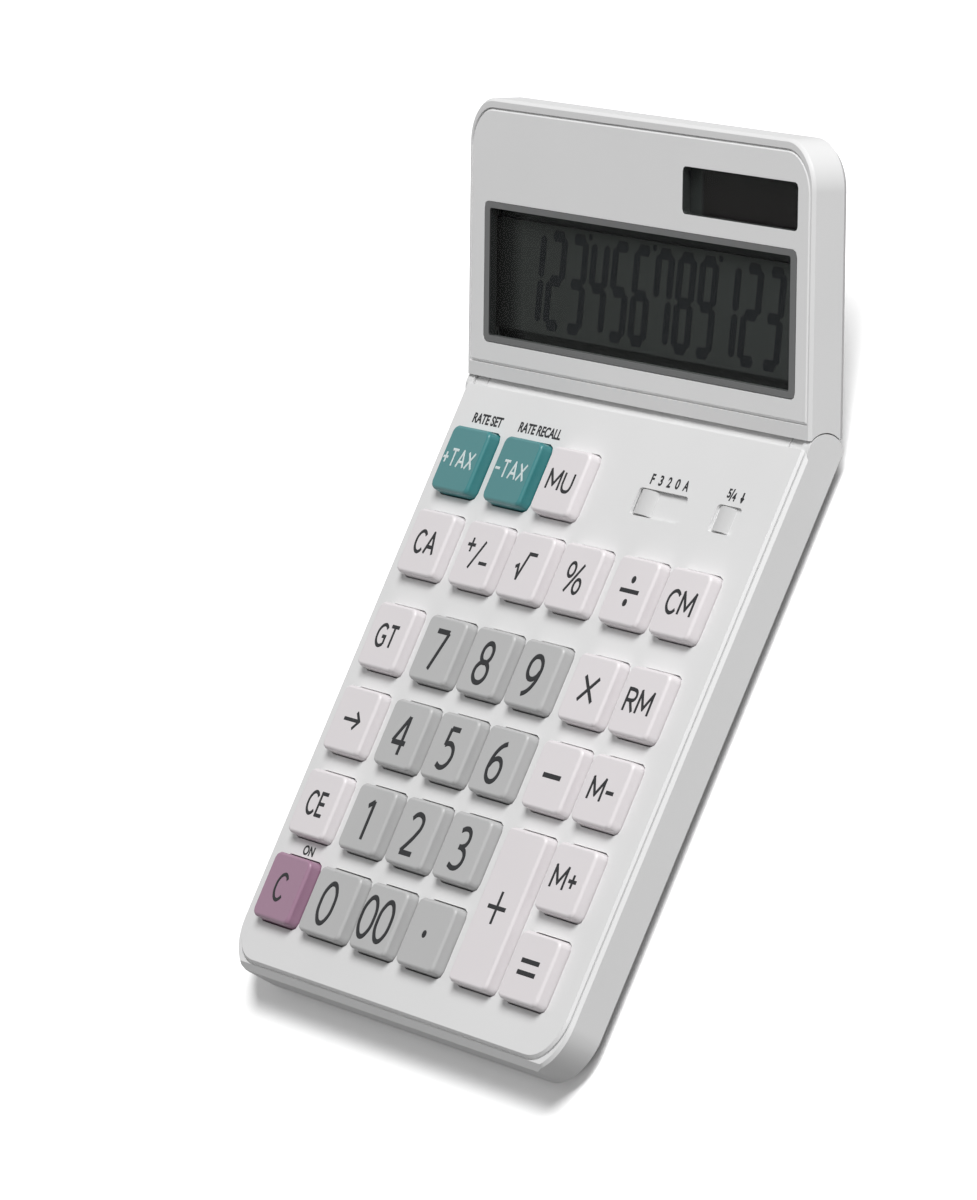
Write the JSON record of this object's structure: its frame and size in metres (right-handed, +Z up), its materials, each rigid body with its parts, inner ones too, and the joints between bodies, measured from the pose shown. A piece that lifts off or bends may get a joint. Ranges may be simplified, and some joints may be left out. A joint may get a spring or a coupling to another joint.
{
  "type": "desktop calculator",
  "caption": "Slim desktop calculator with raised square keys, two slide switches and a tilting display panel hinged at the rear with a dark window and a solar cell.",
  "frame": {"origin": "on the table under the middle of the calculator, with the display tilted as in the picture", "axes": "+X to the right of the keypad, +Y to the rear, +Z up"},
  "size_m": [0.1106, 0.1541, 0.029],
  "materials": {
    "case_white": "satin moulded white",
    "fascia_white": "smooth white panel",
    "key_white": "satin",
    "key_grey": "satin",
    "key_teal": "satin",
    "key_mauve": "satin",
    "knob_white": "satin",
    "bezel_grey": "satin",
    "window_clear": "clear acrylic",
    "lcd_dark": "dark",
    "solar_dark": "dark brown",
    "board_green": "solder mask",
    "dome_rubber": "translucent silicone",
    "foot_rubber": "matte",
    "screw_steel": "zinc plated",
    "pin_steel": "bright",
    "cell_steel": "bright",
    "contact_metal": "tinned spring strip",
    "ribbon_film": "film"
  },
  "bodies": {
    "base": {"upper_case": "case_white", "lower_case": "case_white", "battery_cover": "case_white", "battery_cover_screw": "screw_steel", "case_screws": "screw_steel", "rubber_feet": "foot_rubber", "main_circuit_board": "board_green", "key_rubber_sheet": "dome_rubber", "button_cell": "cell_steel", "battery_contacts": "contact_metal", "hinge_pins": "pin_steel", "ribbon_cable": "ribbon_film"},
    "display": {"display_rear_case": "case_white", "display_fascia": "fascia_white", "display_bezel": "bezel_grey", "lcd_window": "window_clear", "lcd_panel": "lcd_dark", "display_board": "board_green", "solar_cell": "solar_dark", "solar_window": "window_clear", "display_screws": "screw_steel"},
    "decimal_switch": {"decimal_switch_knob": "knob_white", "decimal_switch_wiper": "contact_metal"},
    "rounding_switch": {"rounding_switch_knob": "knob_white", "rounding_switch_wiper": "contact_metal"},
    "key_tax_plus_body": {"key_tax_plus": "key_teal"},
    "key_tax_minus_body": {"key_tax_minus": "key_teal"},
    "key_mark_up_body": {"key_mark_up": "key_white"},
    "key_clear_all_body": {"key_clear_all": "key_white"},
    "key_change_sign_body": {"key_change_sign": "key_white"},
    "key_square_root_body": {"key_square_root": "key_white"},
    "key_percent_body": {"key_percent": "key_white"},
    "key_divide_body": {"key_divide": "key_white"},
    "key_memory_clear_body": {"key_memory_clear": "key_white"},
    "key_grand_total_body": {"key_grand_total": "key_white"},
    "key_7_body": {"key_7": "key_grey"},
    "key_8_body": {"key_8": "key_grey"},
    "key_9_body": {"key_9": "key_grey"},
    "key_multiply_body": {"key_multiply": "key_white"},
    "key_memory_recall_body": {"key_memory_recall": "key_white"},
    "key_backspace_body": {"key_backspace": "key_white"},
    "key_4_body": {"key_4": "key_grey"},
    "key_5_body": {"key_5": "key_grey"},
    "key_6_body": {"key_6": "key_grey"},
    "key_minus_body": {"key_minus": "key_white"},
    "key_memory_minus_body": {"key_memory_minus": "key_white"},
    "key_clear_entry_body": {"key_clear_entry": "key_white"},
    "key_1_body": {"key_1": "key_grey"},
    "key_2_body": {"key_2": "key_grey"},
    "key_3_body": {"key_3": "key_grey"},
    "key_plus_body": {"key_plus": "key_white"},
    "key_memory_plus_body": {"key_memory_plus": "key_white"},
    "key_clear_body": {"key_clear": "key_mauve"},
    "key_0_body": {"key_0": "key_grey"},
    "key_00_body": {"key_00": "key_grey"},
    "key_point_body": {"key_point": "key_grey"},
    "key_equals_body": {"key_equals": "key_white"}
  },
  "joints": [
    {"name": "display_tilt", "type": "hinge", "parent": "base", "child": "display", "pos_m": [0, 0.03091, 0.0052], "axis": [1, 0, 0], "range_deg": [-25.3, 19.7], "deforming": ["ribbon_cable"]},
    {"name": "decimal_switch_slide", "type": "slide", "parent": "base", "child": "decimal_switch", "axis": [1, 0, 0], "range_m": [0, 0.0097]},
    {"name": "rounding_switch_slide", "type": "slide", "parent": "base", "child": "rounding_switch", "axis": [1, 0, 0], "range_m": [0, 0.0018]},
    {"name": "key_tax_plus_press", "type": "slide", "parent": "base", "child": "key_tax_plus_body", "axis": [0, 0, -1], "range_m": [0, 0.0012], "stiffness_N_per_m": 450, "springref_m": -0.0004, "deforming": ["key_rubber_sheet"]},
    {"name": "key_tax_minus_press", "type": "slide", "parent": "base", "child": "key_tax_minus_body", "axis": [0, 0, -1], "range_m": [0, 0.0012], "stiffness_N_per_m": 450, "springref_m": -0.0004, "deforming": ["key_rubber_sheet"]},
    {"name": "key_mark_up_press", "type": "slide", "parent": "base", "child": "key_mark_up_body", "axis": [0, 0, -1], "range_m": [0, 0.0012], "stiffness_N_per_m": 450, "springref_m": -0.0004, "deforming": ["key_rubber_sheet"]},
    {"name": "key_clear_all_press", "type": "slide", "parent": "base", "child": "key_clear_all_body", "axis": [0, 0, -1], "range_m": [0, 0.0012], "stiffness_N_per_m": 450, "springref_m": -0.0004, "deforming": ["key_rubber_sheet"]},
    {"name": "key_change_sign_press", "type": "slide", "parent": "base", "child": "key_change_sign_body", "axis": [0, 0, -1], "range_m": [0, 0.0012], "stiffness_N_per_m": 450, "springref_m": -0.0004, "deforming": ["key_rubber_sheet"]},
    {"name": "key_square_root_press", "type": "slide", "parent": "base", "child": "key_square_root_body", "axis": [0, 0, -1], "range_m": [0, 0.0012], "stiffness_N_per_m": 450, "springref_m": -0.0004, "deforming": ["key_rubber_sheet"]},
    {"name": "key_percent_press", "type": "slide", "parent": "base", "child": "key_percent_body", "axis": [0, 0, -1], "range_m": [0, 0.0012], "stiffness_N_per_m": 450, "springref_m": -0.0004, "deforming": ["key_rubber_sheet"]},
    {"name": "key_divide_press", "type": "slide", "parent": "base", "child": "key_divide_body", "axis": [0, 0, -1], "range_m": [0, 0.0012], "stiffness_N_per_m": 450, "springref_m": -0.0004, "deforming": ["key_rubber_sheet"]},
    {"name": "key_memory_clear_press", "type": "slide", "parent": "base", "child": "key_memory_clear_body", "axis": [0, 0, -1], "range_m": [0, 0.0012], "stiffness_N_per_m": 450, "springref_m": -0.0004, "deforming": ["key_rubber_sheet"]},
    {"name": "key_grand_total_press", "type": "slide", "parent": "base", "child": "key_grand_total_body", "axis": [0, 0, -1], "range_m": [0, 0.0012], "stiffness_N_per_m": 450, "springref_m": -0.0004, "deforming": ["key_rubber_sheet"]},
    {"name": "key_7_press", "type": "slide", "parent": "base", "child": "key_7_body", "axis": [0, 0, -1], "range_m": [0, 0.0012], "stiffness_N_per_m": 450, "springref_m": -0.0004, "deforming": ["key_rubber_sheet"]},
    {"name": "key_8_press", "type": "slide", "parent": "base", "child": "key_8_body", "axis": [0, 0, -1], "range_m": [0, 0.0012], "stiffness_N_per_m": 450, "springref_m": -0.0004, "deforming": ["key_rubber_sheet"]},
    {"name": "key_9_press", "type": "slide", "parent": "base", "child": "key_9_body", "axis": [0, 0, -1], "range_m": [0, 0.0012], "stiffness_N_per_m": 450, "springref_m": -0.0004, "deforming": ["key_rubber_sheet"]},
    {"name": "key_multiply_press", "type": "slide", "parent": "base", "child": "key_multiply_body", "axis": [0, 0, -1], "range_m": [0, 0.0012], "stiffness_N_per_m": 450, "springref_m": -0.0004, "deforming": ["key_rubber_sheet"]},
    {"name": "key_memory_recall_press", "type": "slide", "parent": "base", "child": "key_memory_recall_body", "axis": [0, 0, -1], "range_m": [0, 0.0012], "stiffness_N_per_m": 450, "springref_m": -0.0004, "deforming": ["key_rubber_sheet"]},
    {"name": "key_backspace_press", "type": "slide", "parent": "base", "child": "key_backspace_body", "axis": [0, 0, -1], "range_m": [0, 0.0012], "stiffness_N_per_m": 450, "springref_m": -0.0004, "deforming": ["key_rubber_sheet"]},
    {"name": "key_4_press", "type": "slide", "parent": "base", "child": "key_4_body", "axis": [0, 0, -1], "range_m": [0, 0.0012], "stiffness_N_per_m": 450, "springref_m": -0.0004, "deforming": ["key_rubber_sheet"]},
    {"name": "key_5_press", "type": "slide", "parent": "base", "child": "key_5_body", "axis": [0, 0, -1], "range_m": [0, 0.0012], "stiffness_N_per_m": 450, "springref_m": -0.0004, "deforming": ["key_rubber_sheet"]},
    {"name": "key_6_press", "type": "slide", "parent": "base", "child": "key_6_body", "axis": [0, 0, -1], "range_m": [0, 0.0012], "stiffness_N_per_m": 450, "springref_m": -0.0004, "deforming": ["key_rubber_sheet"]},
    {"name": "key_minus_press", "type": "slide", "parent": "base", "child": "key_minus_body", "axis": [0, 0, -1], "range_m": [0, 0.0012], "stiffness_N_per_m": 450, "springref_m": -0.0004, "deforming": ["key_rubber_sheet"]},
    {"name": "key_memory_minus_press", "type": "slide", "parent": "base", "child": "key_memory_minus_body", "axis": [0, 0, -1], "range_m": [0, 0.0012], "stiffness_N_per_m": 450, "springref_m": -0.0004, "deforming": ["key_rubber_sheet"]},
    {"name": "key_clear_entry_press", "type": "slide", "parent": "base", "child": "key_clear_entry_body", "axis": [0, 0, -1], "range_m": [0, 0.0012], "stiffness_N_per_m": 450, "springref_m": -0.0004, "deforming": ["key_rubber_sheet"]},
    {"name": "key_1_press", "type": "slide", "parent": "base", "child": "key_1_body", "axis": [0, 0, -1], "range_m": [0, 0.0012], "stiffness_N_per_m": 450, "springref_m": -0.0004, "deforming": ["key_rubber_sheet"]},
    {"name": "key_2_press", "type": "slide", "parent": "base", "child": "key_2_body", "axis": [0, 0, -1], "range_m": [0, 0.0012], "stiffness_N_per_m": 450, "springref_m": -0.0004, "deforming": ["key_rubber_sheet"]},
    {"name": "key_3_press", "type": "slide", "parent": "base", "child": "key_3_body", "axis": [0, 0, -1], "range_m": [0, 0.0012], "stiffness_N_per_m": 450, "springref_m": -0.0004, "deforming": ["key_rubber_sheet"]},
    {"name": "key_plus_press", "type": "slide", "parent": "base", "child": "key_plus_body", "axis": [0, 0, -1], "range_m": [0, 0.0012], "stiffness_N_per_m": 450, "springref_m": -0.0004, "deforming": ["key_rubber_sheet"]},
    {"name": "key_memory_plus_press", "type": "slide", "parent": "base", "child": "key_memory_plus_body", "axis": [0, 0, -1], "range_m": [0, 0.0012], "stiffness_N_per_m": 450, "springref_m": -0.0004, "deforming": ["key_rubber_sheet"]},
    {"name": "key_clear_press", "type": "slide", "parent": "base", "child": "key_clear_body", "axis": [0, 0, -1], "range_m": [0, 0.0012], "stiffness_N_per_m": 450, "springref_m": -0.0004, "deforming": ["key_rubber_sheet"]},
    {"name": "key_0_press", "type": "slide", "parent": "base", "child": "key_0_body", "axis": [0, 0, -1], "range_m": [0, 0.0012], "stiffness_N_per_m": 450, "springref_m": -0.0004, "deforming": ["key_rubber_sheet"]},
    {"name": "key_00_press", "type": "slide", "parent": "base", "child": "key_00_body", "axis": [0, 0, -1], "range_m": [0, 0.0012], "stiffness_N_per_m": 450, "springref_m": -0.0004, "deforming": ["key_rubber_sheet"]},
    {"name": "key_point_press", "type": "slide", "parent": "base", "child": "key_point_body", "axis": [0, 0, -1], "range_m": [0, 0.0012], "stiffness_N_per_m": 450, "springref_m": -0.0004, "deforming": ["key_rubber_sheet"]},
    {"name": "key_equals_press", "type": "slide", "parent": "base", "child": "key_equals_body", "axis": [0, 0, -1], "range_m": [0, 0.0012], "stiffness_N_per_m": 450, "springref_m": -0.0004, "deforming": ["key_rubber_sheet"]}
  ]
}
